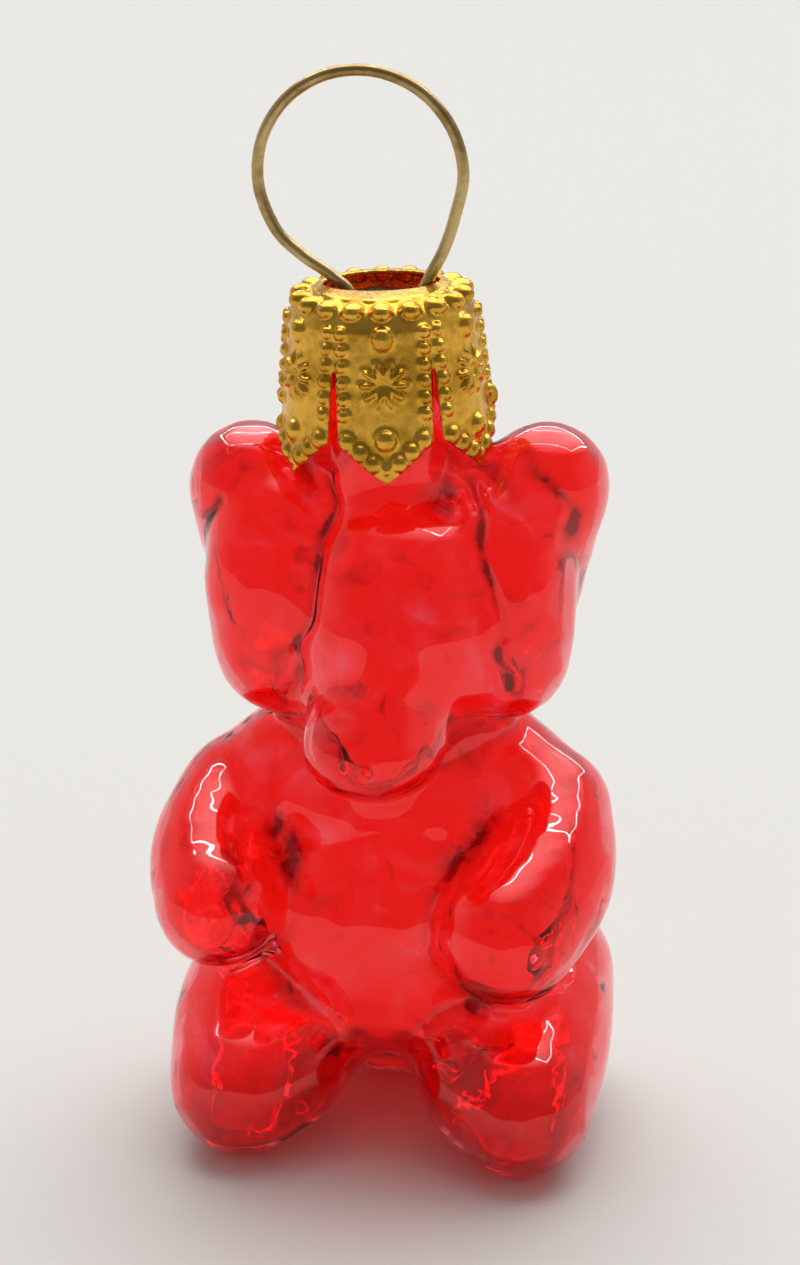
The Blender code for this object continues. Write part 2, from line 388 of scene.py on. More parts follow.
class StainPatches:
    """Shader group for the soft-edged patches of an unevenly laid stain."""

    _group: bpy.types.NodeTree | None = None

    @classmethod
    def group(cls) -> bpy.types.NodeTree:
        """Returns the group, built on first use: coordinates in, two patch masks out."""
        if cls._group is None:
            cls._group = cls._build()
        return cls._group

    @staticmethod
    def _build() -> bpy.types.NodeTree:
        """Builds the group.

        Returns:
            The node tree with sockets Vector, Patch Scale and Tear in, and Patches
            and Streaks out.
        """
        tree = bpy.data.node_groups.new("stain_patches", "ShaderNodeTree")
        face = tree.interface
        face.new_socket(name="Vector", in_out="INPUT", socket_type="NodeSocketVector")
        for name, value in (("Patch Scale", 170.0), ("Tear", 1.6)):
            socket = face.new_socket(name=name, in_out="INPUT", socket_type="NodeSocketFloat")
            socket.default_value = value
        for name in ("Patches", "Streaks"):
            face.new_socket(name=name, in_out="OUTPUT", socket_type="NodeSocketFloat")
        start = tree.nodes.new("NodeGroupInput")
        end = tree.nodes.new("NodeGroupOutput")
        patch = tree.nodes.new("ShaderNodeTexNoise")
        patch.inputs["Detail"].default_value = 5.0
        patch.inputs["Roughness"].default_value = 0.45
        streak = tree.nodes.new("ShaderNodeTexNoise")
        streak.inputs["Detail"].default_value = 3.0
        streak.inputs["Scale"].default_value = 620.0
        streak.inputs["Distortion"].default_value = 0.8
        tree.links.new(start.outputs["Vector"], patch.inputs["Vector"])
        tree.links.new(start.outputs["Vector"], streak.inputs["Vector"])
        tree.links.new(start.outputs["Patch Scale"], patch.inputs["Scale"])
        tree.links.new(start.outputs["Tear"], patch.inputs["Distortion"])
        tree.links.new(patch.outputs[0], end.inputs["Patches"])
        tree.links.new(streak.outputs[0], end.inputs["Streaks"])
        return tree

    @classmethod
    def place(cls, material: bpy.types.Material, scale: float, tear: float) -> bpy.types.ShaderNode:
        """Puts the group into a material on object coordinates.

        Args:
            material: The material that gets it.
            scale: Scale of the patches.
            tear: How torn the patches' edges are.

        Returns:
            The group node.
        """
        node = material.node_tree.nodes.new("ShaderNodeGroup")
        node.node_tree = cls.group()
        node.inputs["Patch Scale"].default_value = scale
        node.inputs["Tear"].default_value = tear
        place = material.node_tree.nodes.new("ShaderNodeTexCoord")
        link(material, place.outputs["Object"], node.inputs["Vector"])
        return node


@dataclass(frozen=True)
class PinkGlass:
    """Outer skin of the bear: glossy, slightly wavy glass, unevenly stained pink."""

    stain: Triple = (1.0, 0.13, 0.15)
    weak: Triple = (1.0, 0.29, 0.36)
    index: float = 1.5
    specular: float = 0.3

    def build(self) -> bpy.types.Material:
        """Returns the material."""
        material, shader = new_material("stained_blown_glass")
        shader.inputs["Specular IOR Level"].default_value = self.specular
        shader.inputs["Roughness"].default_value = 0.0
        shader.inputs["IOR"].default_value = self.index
        shader.inputs["Transmission Weight"].default_value = 1.0
        patches = StainPatches.place(material, 170.0, 1.6)
        ramp = add_ramp(material, [(0.53, self.stain), (0.66, self.weak)])
        link(material, patches.outputs["Patches"], ramp.inputs["Fac"])
        link(material, ramp.outputs["Color"], shader.inputs["Base Color"])
        waves = HandWaver.place(material, 260.0, 900.0, 0.12)
        add_bump(material, shader, waves.outputs["Height"], 0.3, 0.00005)
        return material


@dataclass(frozen=True)
class RedLacquer:
    """Inner skin of the bear: red lacquer laid unevenly on the glass, with painted shade.

    The finish reads the attribute that GlassBear writes for the valleys and creases, and paints
    them dark, almost black: painted shade, not thicker lacquer.
    """

    # painted shade: near-black red laid over the valleys and along the creases
    crease_shade_colour: Triple = (0.06, 0.001, 0.003)
    deep: Triple = (0.42, 0.004, 0.008)
    red: Triple = (1.0, 0.045, 0.025)
    thin: Triple = (1.0, 0.11, 0.13)
    bare: Triple = (0.97, 0.24, 0.31)
    uncoated: Triple = (0.80, 0.62, 0.66)
    edge_tint: Triple = (0.85, 0.05, 0.08)
    index: float = 1.5
    specular: float = 0.25

    def build(self) -> bpy.types.Material:
        """Returns the material."""
        material, shader = new_material("red_lacquer_inside")
        shader.inputs["Specular IOR Level"].default_value = self.specular
        shader.inputs["Roughness"].default_value = 0.0
        shader.inputs["IOR"].default_value = self.index
        shader.inputs["Transmission Weight"].default_value = 1.0
        shader.inputs["Specular Tint"].default_value = (*self.edge_tint, 1.0)
        patches = StainPatches.place(material, 170.0, 1.6)
        wash = add_ramp(material, [(0.25, self.deep), (0.37, self.red), (0.53, self.red),
                                   (0.59, self.thin), (0.68, self.bare)])
        link(material, patches.outputs["Patches"], wash.inputs["Fac"])
        # painted shade: the attribute, broken into ragged streaks, blends the near-black colour
        # over the valleys and creases
        valley = material.node_tree.nodes.new("ShaderNodeAttribute")
        valley.attribute_name = CREASE_SHADE
        rag = add_node(material, "ShaderNodeMapRange", From_Min=0.35, From_Max=0.65,
                       To_Min=0.5, To_Max=1.3)
        link(material, patches.outputs["Streaks"], rag.inputs["Value"])
        depth = material.node_tree.nodes.new("ShaderNodeMath")
        depth.operation = "MULTIPLY"
        depth.use_clamp = True
        link(material, valley.outputs["Fac"], depth.inputs[0])
        link(material, rag.outputs["Result"], depth.inputs[1])
        blend = material.node_tree.nodes.new("ShaderNodeMixRGB")
        blend.inputs["Color2"].default_value = (*self.crease_shade_colour, 1.0)
        link(material, depth.outputs[0], blend.inputs["Fac"])
        link(material, wash.outputs["Color"], blend.inputs["Color1"])
        missed = material.node_tree.nodes.new("ShaderNodeAttribute")
        missed.attribute_name = MISSED
        clear = material.node_tree.nodes.new("ShaderNodeMixRGB")
        clear.inputs["Color2"].default_value = (*self.uncoated, 1.0)
        link(material, missed.outputs["Fac"], clear.inputs["Fac"])
        link(material, blend.outputs["Color"], clear.inputs["Color1"])
        link(material, clear.outputs["Color"], shader.inputs["Base Color"])
        waves = HandWaver.place(material, 330.0, 1400.0, 0.2)
        add_bump(material, shader, waves.outputs["Height"], 0.35, 0.00006)
        return material


@dataclass(frozen=True)
class CutRim:
    """Ground, greyish rim where the neck was cut from the blowing tube."""

    colour: Triple = (0.40, 0.23, 0.12)

    def build(self) -> bpy.types.Material:
        """Returns the material."""
        material, shader = new_material("cut_glass_rim")
        shader.inputs["IOR"].default_value = 1.5
        waves = HandWaver.place(material, 900.0, 3000.0, 0.5)
        ramp = add_ramp(material, [(0.35, self.colour), (0.62, (0.80, 0.60, 0.42))])
        link(material, waves.outputs["Mottle"], ramp.inputs["Fac"])
        link(material, ramp.outputs["Color"], shader.inputs["Base Color"])
        shader.inputs["Roughness"].default_value = 0.35
        add_bump(material, shader, waves.outputs["Height"], 0.9, 0.0003)
        return material


@dataclass(frozen=True)
class StampedGold:
    """Gold-coloured lacquered sheet of the cap, a little browner in places."""

    bright: Triple = (0.80, 0.44, 0.055)
    worn: Triple = (0.52, 0.26, 0.02)
    gloss: float = 0.20
    dull: float = 0.34

    def build(self) -> bpy.types.Material:
        """Returns the material."""
        material, shader = new_material("stamped_gold_sheet")
        shader.inputs["Metallic"].default_value = 1.0
        waves = HandWaver.place(material, 420.0, 1900.0, 0.35)
        ramp = add_ramp(material, [(0.36, self.worn), (0.58, self.bright)])
        link(material, waves.outputs["Height"], ramp.inputs["Fac"])
        link(material, ramp.outputs["Color"], shader.inputs["Base Color"])
        dull = add_ramp(material, [(0.35, (self.dull,) * 3), (0.65, (self.gloss,) * 3)])
        link(material, waves.outputs["Mottle"], dull.inputs["Fac"])
        link(material, dull.outputs["Color"], shader.inputs["Roughness"])
        add_bump(material, shader, waves.outputs["Height"], 0.25, 0.00008)
        return material


@dataclass(frozen=True)
class AgedBrass:
    """Dull, unevenly darkened brass wire."""

    bright: Triple = (0.60, 0.43, 0.19)
    dark: Triple = (0.34, 0.22, 0.08)

    def build(self) -> bpy.types.Material:
        """Returns the material."""
        material, shader = new_material("aged_brass_wire")
        shader.inputs["Metallic"].default_value = 1.0
        waves = HandWaver.place(material, 170.0, 1500.0, 0.3)
        ramp = add_ramp(material, [(0.40, self.dark), (0.58, self.bright)])
        link(material, waves.outputs["Height"], ramp.inputs["Fac"])
        link(material, ramp.outputs["Color"], shader.inputs["Base Color"])
        dull = add_ramp(material, [(0.35, (0.40,) * 3), (0.65, (0.26,) * 3)])
        link(material, waves.outputs["Mottle"], dull.inputs["Fac"])
        link(material, dull.outputs["Color"], shader.inputs["Roughness"])
        add_bump(material, shader, waves.outputs["Height"], 0.25, 0.00004)
        return material


# ---------------------------------------------------------------- glass bear


@dataclass(frozen=True)
class Ball:
    """A ball or egg of the blown form.

    Attributes:
        centre: Its middle.
        sizes: Half its width, depth and height.
    """

    centre: Triple
    sizes: Triple


@dataclass(frozen=True)
class Limb:
    """A round limb whose radius changes along a smooth curve.

    Attributes:
        points: Points that its middle line passes through.
        radii: Its radius at each of them.
        steps: How many balls make it up, less one.
    """

    points: tuple[Triple, ...]
    radii: tuple[float, ...]
    steps: int = 10

    def balls(self) -> list[Ball]:
        """Returns the balls along the limb."""
        path = [Vector(point) for point in self.points]
        made = []
        for step in range(self.steps + 1):
            position = (len(path) - 1) * step / self.steps
            k = min(int(position), len(path) - 2)
            ease = smooth_blend(position - k)
            radius = self.radii[k] * (1.0 - ease) + self.radii[k + 1] * ease
            made.append(Ball(tuple(curve_point(path, position)), (radius, radius, radius)))
        return made


@dataclass(frozen=True)
class Crease:
    """A valley pressed into the front of the form by the mould, with painted shade along it on the
    inner skin.

    Attributes:
        line: Points across and up that it follows, seen from the front.
        depth: How deep it is in the middle.
        width: How far from the line it fades.
        pool: How much painted shade, the inner skin's darkest colour, lies along it, where 1 covers
            the glass.
        shade_reach: How far from the line that painted shade reaches.
        sway: How far it wavers to either side.
        fineness: Straight steps between two of the line's points.
    """

    line: tuple[tuple[float, float], ...]
    depth: float
    width: float
    # strength and reach of the painted shade along the crease
    pool: float = 2.0
    shade_reach: float = 0.34
    sway: float = 0.3
    fineness: int = 5

    def gap(self, across: np.ndarray, up: np.ndarray) -> np.ndarray:
        """Measures how far places lie from the line.

        Args:
            across: Places across, in millimetres.
            up: Places up, in millimetres.

        Returns:
            The distance of each place.
        """
        nearest = np.full(across.shape, np.inf)
        across = across + self.sway * np.sin(1.1 * up + 0.9 * np.sin(0.7 * up))
        knots = [Vector((x, z)) for x, z in self.line]
        spans = self.fineness * (len(knots) - 1)
        path = [curve_point(knots, step / self.fineness) for step in range(spans + 1)]
        for (x0, z0), (x1, z1) in zip(path[:-1], path[1:]):
            length = (x1 - x0) ** 2 + (z1 - z0) ** 2
            share = np.clip(((across - x0) * (x1 - x0) + (up - z0) * (z1 - z0)) / length, 0, 1)
            gap = np.hypot(across - x0 - share * (x1 - x0), up - z0 - share * (z1 - z0))
            nearest = np.minimum(nearest, gap)
        return nearest

    def weight(self, across: np.ndarray, up: np.ndarray) -> np.ndarray:
        """Returns the share of the depth, from 0 to 1, that each place gets."""
        return np.exp(-(self.gap(across, up) / self.width) ** 2)


@dataclass
class GlassBear:
    """The hollow glass bear, open at its neck."""

    wall: float = 0.45
    voxel: float = 0.76
    inner_voxel: float = 0.94
    smoothing: int = 8
    ripple_length: float = 3.2
    ripple_height: float = 0.22
    # settings of the painted shade in the valleys of the inner skin
    shade_rounds: int = 24
    shade_start: float = 0.04
    shade_span: float = 0.16
    neck_x: float = -1.0
    neck_radius: float = 4.7
    neck_top: float = 57.5
    neck_foot: float = 44.0
    rim_depth: float = 0.9
    body: tuple[Ball, ...] = (
        Ball((0.0, 1.8, 15.6), (12.2, 9.6, 14.0)),
        Ball((0.0, -1.0, 14.4), (10.2, 9.4, 10.4)),
        Ball((0.0, 4.6, 7.8), (10.0, 6.4, 8.5)),
        Ball((-0.2, 0.6, 22.0), (9.6, 8.4, 7.6)),
        Ball((-7.2, 0.4, 23.4), (5.7, 5.6, 5.5)),
        Ball((6.8, 0.4, 23.4), (5.6, 5.6, 5.4)),
        Ball((-0.3, 1.4, 28.2), (8.8, 6.9, 8.0)),
    )
    skull: Ball = Ball((-0.4, 1.4, 37.6), (11.2, 7.6, 9.2))
    brow: Ball = Ball((0.5, -3.0, 38.9), (6.7, 6.3, 6.3))
    face: Ball = Ball((0.8, -3.5, 36.0), (7.3, 7.3, 7.3))
    webs: tuple[Ball, ...] = (
        Ball((-5.6, 0.6, 45.2), (2.7, 2.7, 2.9)),
        Ball((4.4, 0.8, 45.7), (2.6, 2.6, 2.8)),
    )
    cheeks: tuple[Limb, ...] = (
        Limb(((-8.2, -1.6, 42.3), (-8.4, -2.4, 38.6), (-7.5, -2.3, 34.2)), (4.3, 4.6, 4.9)),
        Limb(((7.6, -1.6, 42.3), (7.8, -2.4, 38.6), (7.2, -2.3, 34.6)), (4.3, 4.6, 4.9)),
    )
    ears: tuple[Limb, ...] = (
        Limb(((-10.15, 0.5, 44.45), (-9.9, 1.4, 41.2), (-8.4, 2.2, 36.0)), (4.45, 4.25, 4.2)),
        Limb(((9.8, 0.8, 45.2), (9.0, 1.6, 41.4), (7.6, 2.2, 36.0)), (4.4, 4.1, 4.2)),
    )
    muzzle: tuple[Ball, ...] = (
        Ball((-0.2, -5.0, 32.0), (5.2, 5.4, 4.8)),
        Ball((-0.3, -9.0, 29.9), (4.95, 5.5, 3.9)),
    )
    nose: Ball = Ball((1.1, -10.3, 34.2), (2.0, 1.7, 1.6))
    arms: tuple[Limb, ...] = (
        Limb(((-10.8, -0.2, 21.8), (-12.0, -4.6, 19.4), (-11.0, -8.6, 17.5)), (4.8, 4.7, 4.5)),
        Limb(((10.2, -0.6, 22.3), (10.7, -5.2, 19.4), (8.8, -9.6, 17.0)), (4.7, 4.9, 4.9)),
    )
    thighs: tuple[Limb, ...] = (
        Limb(((-4.4, -4.4, 7.7), (-6.9, -8.4, 5.5)), (3.8, 4.6), 5),
        Limb(((4.2, -4.4, 8.1), (7.4, -8.9, 5.5)), (3.7, 4.7), 5),
    )
    legs: tuple[Limb, ...] = (
        Limb(((-8.6, 2.6, 8.2), (-9.3, -3.6, 7.0), (-9.3, -9.8, 4.9)), (6.2, 6.0, 5.2)),
        Limb(((8.8, 2.6, 8.4), (9.5, -3.6, 7.2), (9.8, -10.2, 4.9)), (6.2, 6.0, 5.2)),
    )
    creases: tuple[Crease, ...] = (
        Crease(((-3.9, 46.5), (-4.2, 41.9), (-5.4, 36.5), (-6.3, 32.0)), 0.3, 0.5),
        Crease(((5.2, 46.0), (6.5, 42.5), (7.6, 38.4), (8.0, 33.2)), 0.3, 0.5),
        Crease(((8.7, 47.6), (10.3, 46.6), (11.3, 45.2), (11.8, 43.2), (11.6, 40.4),
                (11.3, 38.0)), 0.14, 0.6, shade_reach=0.42),
        Crease(((-11.8, 44.4), (-12.6, 42.0), (-13.0, 39.8)), 0.2, 0.5),
    )
    crease_reach: float = 1.2
    clear_spots: tuple[Ball, ...] = (
        Ball((-5.8, -6.5, 30.8), (1.2, 3.0, 2.4)),
        Ball((5.3, -6.5, 29.8), (1.3, 3.0, 0.9)),
        Ball((5.6, -3.0, 47.0), (2.0, 3.0, 1.7)),
    )
    neck_segments: int = field(default=48, repr=False)

    def all_balls(self) -> list[Ball]:
        """Returns every ball of the form, limbs included."""
        balls = [*self.body, self.skull, self.brow, self.face, *self.webs, *self.muzzle,
                 self.nose]
        for limb in (*self.cheeks, *self.ears, *self.arms, *self.thighs, *self.legs):
            balls += limb.balls()
        return balls

    def blow(self, name: str, inset: float, voxel: float) -> bpy.types.Object:
        """Fuses the balls and the neck into one smooth skin.

        Args:
            name: The skin's name.
            inset: How far inside the full form it lies.
            voxel: Grain of the fused mesh.

        Returns:
            The skin, closed.
        """
        deselect_all()
        bpy.ops.mesh.primitive_uv_sphere_add(segments=36, ring_count=22, radius=1.0)
        template = bpy.context.object
        pieces = []
        for ball in self.all_balls():
            radii = [max(size - inset, 0.2) * MM for size in ball.sizes]
            place = Matrix.Translation(Vector(ball.centre) * MM)
            pieces.append(copy_at(template, place @ Matrix.Diagonal((*radii, 1.0))))
        bpy.data.objects.remove(template)
        top = self.neck_top + 2.0
        deselect_all()
        bpy.ops.mesh.primitive_cylinder_add(
            vertices=self.neck_segments, radius=(self.neck_radius - inset) * MM,
            depth=(top - self.neck_foot) * MM,
            location=Vector((self.neck_x, 0.0, 0.5 * (top + self.neck_foot))) * MM)
        neck = bpy.context.object
        settle_place(neck)
        skin = join_pieces([neck, *pieces], name)
        apply_modifier(skin, "REMESH", mode="VOXEL", voxel_size=voxel * MM)
        apply_modifier(skin, "SMOOTH", factor=0.5, iterations=self.smoothing)
        return skin

    def refine_creases(self, skin: bpy.types.Object) -> None:
        """Splits the faces near the creases, so that the valleys come out sharp."""

        def near(places: np.ndarray) -> np.ndarray:
            gaps = [crease.gap(places[:, 0], places[:, 2]) for crease in self.creases]
            return (np.min(gaps, axis=0) < self.crease_reach) & (places[:, 1] < 0.0)

        in_edit_mode(skin, near, lambda: bpy.ops.mesh.subdivide(number_cuts=1))

    def press_creases(self, skin: bpy.types.Object) -> None:
        """Presses the mould's valleys into the front of a skin.

        Args:
            skin: The skin to change.
        """
        places, normals = read_points(skin.data)
        facing = np.clip(-normals[:, 1] * 1.6, 0.0, 1.0)
        for index, crease in enumerate(self.creases):
            weights = crease.weight(places[:, 0], places[:, 2]) * facing
            group = skin.vertex_groups.new(name=f"crease_{index}")
            for vertex in np.nonzero(weights > 0.02)[0]:
                group.add([int(vertex)], float(weights[vertex]), "REPLACE")
            apply_modifier(skin, "DISPLACE", strength=-crease.depth * MM, mid_level=0.0,
                           vertex_group=group.name)
        skin.vertex_groups.clear()

    def ripple(self, skin: bpy.types.Object) -> None:
        """Gives the inner skin the uneven thickness of glass blown into a mould."""
        waves = bpy.data.textures.new("wall_waves", "CLOUDS")
        waves.noise_scale = self.ripple_length * MM
        waves.noise_depth = 1
        apply_modifier(skin, "DISPLACE", texture=waves, texture_coords="LOCAL",
                       strength=self.ripple_height * MM, mid_level=0.5)
        bpy.data.textures.remove(waves)

    def paint_crease_shade(self, skin: bpy.types.Object) -> None:
        """Writes painted shade, from 0 to 1, into an attribute: more where a point lies in a valley
        and along each crease.
        """
        mesh = skin.data
        count = len(mesh.vertices)
        places, normals = read_points(mesh)
        ends = np.empty(len(mesh.edges) * 2, dtype=np.int32)
        mesh.edges.foreach_get("vertices", ends)
        one, other = ends[0::2], ends[1::2]
        degree = np.bincount(ends, minlength=count)
        relaxed = places.copy()
        for _ in range(self.shade_rounds):
            total = np.stack([np.bincount(one, relaxed[other, axis], count)
                              + np.bincount(other, relaxed[one, axis], count)
                              for axis in range(3)], axis=1)
            relaxed = 0.5 * (relaxed + total / degree[:, None])
        # painted shade: the further a point lies below its smoothed neighbours, the darker
        lift = np.einsum("ij,ij->i", relaxed - places, normals)
        share = np.clip((lift - self.shade_start) / self.shade_span, 0.0, 1.0)
        # painted shade along each crease, stronger and weaker up its length
        for crease in self.creases:
            gap = crease.gap(places[:, 0], places[:, 2])
            shade_wobble = 0.62 + 0.38 * np.sin(1.6 * places[:, 2] + 2.0 * np.sin(0.9 * places[:, 2]))
            share = np.maximum(share, crease.pool * shade_wobble * np.exp(-(gap / crease.shade_reach) ** 2)
                               * (places[:, 1] < 0.0))
        attribute = mesh.attributes.new(CREASE_SHADE, "FLOAT", "POINT")
        attribute.data.foreach_set("value", share.astype(np.float32))

    def mark_clear_spots(self, skin: bpy.types.Object) -> None:
        """Writes where the lacquer missed the glass, from 0 to 1, into an attribute."""
        mesh = skin.data
        places = read_points(mesh)[0]
        share = np.zeros(len(places))
        for spot in self.clear_spots:
            away = (places - np.array(spot.centre)) / np.array(spot.sizes)
            share = np.maximum(share, np.exp(-np.einsum("ij,ij->i", away, away)))
        attribute = mesh.attributes.new(MISSED, "FLOAT", "POINT")
        attribute.data.foreach_set("value", share.astype(np.float32))

    def flatten_foot(self, skin: bpy.types.Object, height: float) -> None:
        """Presses everything below a height flat, as the bear's standing spots are."""
        in_edit_mode(skin, lambda places: places[:, 2] < height,
                     lambda: bpy.ops.transform.resize(value=(1.0, 1.0, 0.0),
                                                      center_override=(0.0, 0.0, height * MM)))

    def roughen_rim(self, skin: bpy.types.Object) -> None:
        """Makes the cut edge of the neck slightly ragged."""
        top = self.neck_top * MM
        for vertex in skin.data.vertices:
            if vertex.co.z > top - 0.01 * MM:
                angle = math.atan2(vertex.co.y, vertex.co.x - self.neck_x * MM)
                rag = 0.5 * math.sin(11.0 * angle) + 0.35 * math.sin(29.0 * angle + 1.0)
                vertex.co.z = top + (0.16 * rag - 0.1) * MM

    def build(self) -> bpy.types.Object:
        """Models and dresses the bear.

        Returns:
            The finished piece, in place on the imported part.
        """
        outer = self.blow("outer_skin", 0.0, self.voxel)
        inner = self.blow("inner_skin", self.wall, self.inner_voxel)
        for skin, inset, material in ((outer, 0.0, PinkGlass().build()),
                                      (inner, self.wall, RedLacquer().build())):
            apply_modifier(skin, "SUBSURF", levels=1, render_levels=1)
            self.refine_creases(skin)
            self.press_creases(skin)
            if skin is inner:
                # paints shade into the valleys and along the creases of the inner skin
                self.paint_crease_shade(skin)
                self.mark_clear_spots(skin)
                self.ripple(skin)
            self.flatten_foot(skin, inset)
            trim_above(skin, self.neck_top * MM)
            skin.data.materials.append(material)
        in_edit_mode(inner, None, bpy.ops.mesh.flip_normals)
        bear = join_pieces([outer, inner], "blown_glass_bear")
        top = self.neck_top * MM
        in_edit_mode(bear, lambda places: places[:, 2] > self.neck_top - 0.001,
                     bpy.ops.mesh.bridge_edge_loops)
        self.roughen_rim(bear)
        bear.data.materials.append(CutRim().build())
        axis = Vector((self.neck_x * MM, 0.0))
        for face in bear.data.polygons:
            outward = face.center.xy - axis
            angle = math.atan2(outward.y, outward.x)
            depth = (self.rim_depth + 0.25 * math.sin(7.0 * angle)
                     + 0.15 * math.sin(17.0 * angle)) * MM
            inside = face.normal.xy.dot(outward) < 0.0 and face.center.z > top - depth
            if inside or (face.center.z > top - 0.3 * MM and abs(face.normal.z) > 0.5):
                face.material_index = 2
        bear.data.shade_smooth()
        self.stand_on_part(bear)
        return bear

    @staticmethod
    def stand_on_part(bear: bpy.types.Object) -> None:
        """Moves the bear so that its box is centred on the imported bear's box."""
        low = Vector(map(min, *[vertex.co for vertex in bear.data.vertices]))
        high = Vector(map(max, *[vertex.co for vertex in bear.data.vertices]))
        shift = box_middle(Node.BEAR) - 0.5 * (low + high)
        shift.z = 0.0
        bear.data.transform(Matrix.Translation(shift))


# ----------------------------------------------------------------------- cap


@dataclass
class StampedCap:
    """Stamped crown cap: a ring round the hole, a beaded shoulder and six lappets."""

    lappets: int = 6
    facing: float = math.radians(9.0)
    lean: float = math.radians(-2.0)
    centre_x: float = -1.0
    pivot_z: float = 52.0
    sheet: float = 0.3
    voxel: float = 0.128
    hole_radius: float = 3.78
    hole_flatness: float = 0.74
    hole_setback: float = 0.45
    hole_z: float = 58.9
    shoulder_radius: float = 5.2
    shoulder_z: float = 58.25
    top_radius: float = 6.2
    top_z: float = 57.3
    end_radius: float = 7.3
    slit_z: float = 56.1
    corner_z: float = 49.6
    tip_z: float = 46.9
    width: float = 6.85
    slit_point: float = 0.02
    ring_beads: int = 18
    spur_place: tuple[float, float] = (2.9, 51.2)
    short_lappet: int = 4
    short_share: float = 0.78
    petals: int = 10

    def radius_at(self, z: float) -> float:
        """Returns the skirt's radius at a height; it flares towards its lower edge."""
        share = (self.top_z - z) / (self.top_z - self.tip_z)
        return self.top_radius + (self.end_radius - self.top_radius) * share

    def on_skirt(self, across: float, z: float) -> Matrix:
        """Finds a place on the front lappet.

        Args:
            across: Distance sideways from the lappet's middle.
            z: Height.

        Returns:
            A transform whose Y points out of the sheet and whose Z runs up it.
        """
        radius = self.radius_at(z)
        angle = across / radius
        slope = math.atan2(self.end_radius - self.top_radius, self.top_z - self.tip_z)
        place = Matrix.Translation(Vector((radius * math.sin(angle), -radius * math.cos(angle),
                                           z)) * MM)
        return place @ Matrix.Rotation(angle, 4, "Z") @ Matrix.Rotation(-slope, 4, "X")

    def dome(self, template: bpy.types.Object, place: Matrix,
             sizes: Triple) -> bpy.types.Object:
        """Puts a dome on the sheet: half width, proud height and half length."""
        scale = Matrix.Diagonal((sizes[0] * MM, sizes[1] * MM, sizes[2] * MM, 1.0))
        return copy_at(template, place @ scale)

    def relief(self) -> list[bpy.types.Object]:
        """Models the stamped pattern of the front lappet.

        Returns:
            Its pearls, dots and star petals, sunk half into the sheet.
        """
        deselect_all()
        bpy.ops.mesh.primitive_uv_sphere_add(segments=18, ring_count=10, radius=1.0)
        template = bpy.context.object
        edge = 0.5 * self.width - 0.66
        spots = [(edge, self.top_z - 0.45 - 1.06 * row, 0.45, 0.40) for row in range(6)]
        spots += [(edge * (0.93 - 0.31 * step), self.corner_z + 0.25 - 0.70 * step, 0.58, 0.42)
                  for step in range(3)]
        places = [(self.on_skirt(side.value * across, z), (size, proud, size))
                  for across, z, size, proud in spots for side in Side]
        places.append((self.on_skirt(0.0, self.tip_z + 1.15), (0.36, 0.30, 0.36)))
        places.append((self.on_skirt(0.0, self.top_z - 0.75), (0.72, 0.60, 0.80)))
        places.append((self.on_skirt(0.0, self.corner_z + 0.4), (0.72, 0.52, 0.72)))
        star = self.on_skirt(0.0, 53.6)
        for petal in range(self.petals):
            turn = Matrix.Rotation(math.tau * (petal + 0.5) / self.petals, 4, "Y")
            place = star @ turn @ Matrix.Translation((0.0, 0.0, 1.0 * MM))
            places.append((place, (0.22, 0.36, 0.66)))
        made = [self.dome(template, place, sizes) for place, sizes in places]
        bpy.data.objects.remove(template)
        return made

    def spur(self) -> bpy.types.Object:
        """Returns the crumpled bit that stands out from the right lappet's edge."""
        deselect_all()
        bpy.ops.mesh.primitive_uv_sphere_add(segments=18, ring_count=10, radius=1.0)
        template = bpy.context.object
        turn = Matrix.Rotation(math.tau / self.lappets, 4, "Z")
        piece = self.dome(template, turn @ self.on_skirt(*self.spur_place), (0.30, 0.70, 0.85))
        bpy.data.objects.remove(template)
        return piece

    def ring(self) -> list[bpy.types.Object]:
        """Returns the beads round the shoulder."""
        deselect_all()
        bpy.ops.mesh.primitive_uv_sphere_add(segments=18, ring_count=10, radius=1.0)
        template = bpy.context.object
        made = []
        for bead in range(self.ring_beads):
            turn = Matrix.Rotation(math.tau * bead / self.ring_beads, 4, "Z")
            place = turn @ Matrix.Translation(Vector((0.0, -self.shoulder_radius - 0.1,
                                                      self.shoulder_z - 0.15)) * MM)
            made.append(self.dome(template, place, (0.78, 0.92, 0.64)))
        bpy.data.objects.remove(template)
        return made

    def draw_cup(self) -> bpy.types.Object:
        """Spins up the plain cup: skirt, rounded shoulder and raised ring round the hole.

        Returns:
            The cup as a thin closed shell.
        """
        profile = [(self.radius_at(z), z) for z in np.linspace(self.tip_z, self.top_z - 0.3, 9)]
        profile += [(self.top_radius - 0.12, self.top_z),
                    (self.shoulder_radius + 0.45, self.shoulder_z - 0.35),
                    (self.shoulder_radius, self.shoulder_z),
                    (self.shoulder_radius - 0.5, self.shoulder_z + 0.22),
                    (self.hole_radius + 0.7, self.hole_z - 0.14),
                    (self.hole_radius + 0.15, self.hole_z - 0.01),
                    (self.hole_radius, self.hole_z - 0.06)]
        deselect_all()
        bpy.ops.mesh.primitive_circle_add(vertices=192, radius=profile[0][0] * MM,
                                          location=(0.0, 0.0, profile[0][1] * MM))
        cup = bpy.context.object
        settle_place(cup)

        def raise_rings() -> None:
            for (r0, z0), (r1, z1) in zip(profile[:-1], profile[1:]):
                bpy.ops.mesh.extrude_edges_move(
                    TRANSFORM_OT_translate={"value": (0.0, 0.0, (z1 - z0) * MM)})
                bpy.ops.transform.resize(value=(r1 / r0, r1 / r0, 1.0),
                                         center_override=(0.0, 0.0, z1 * MM))

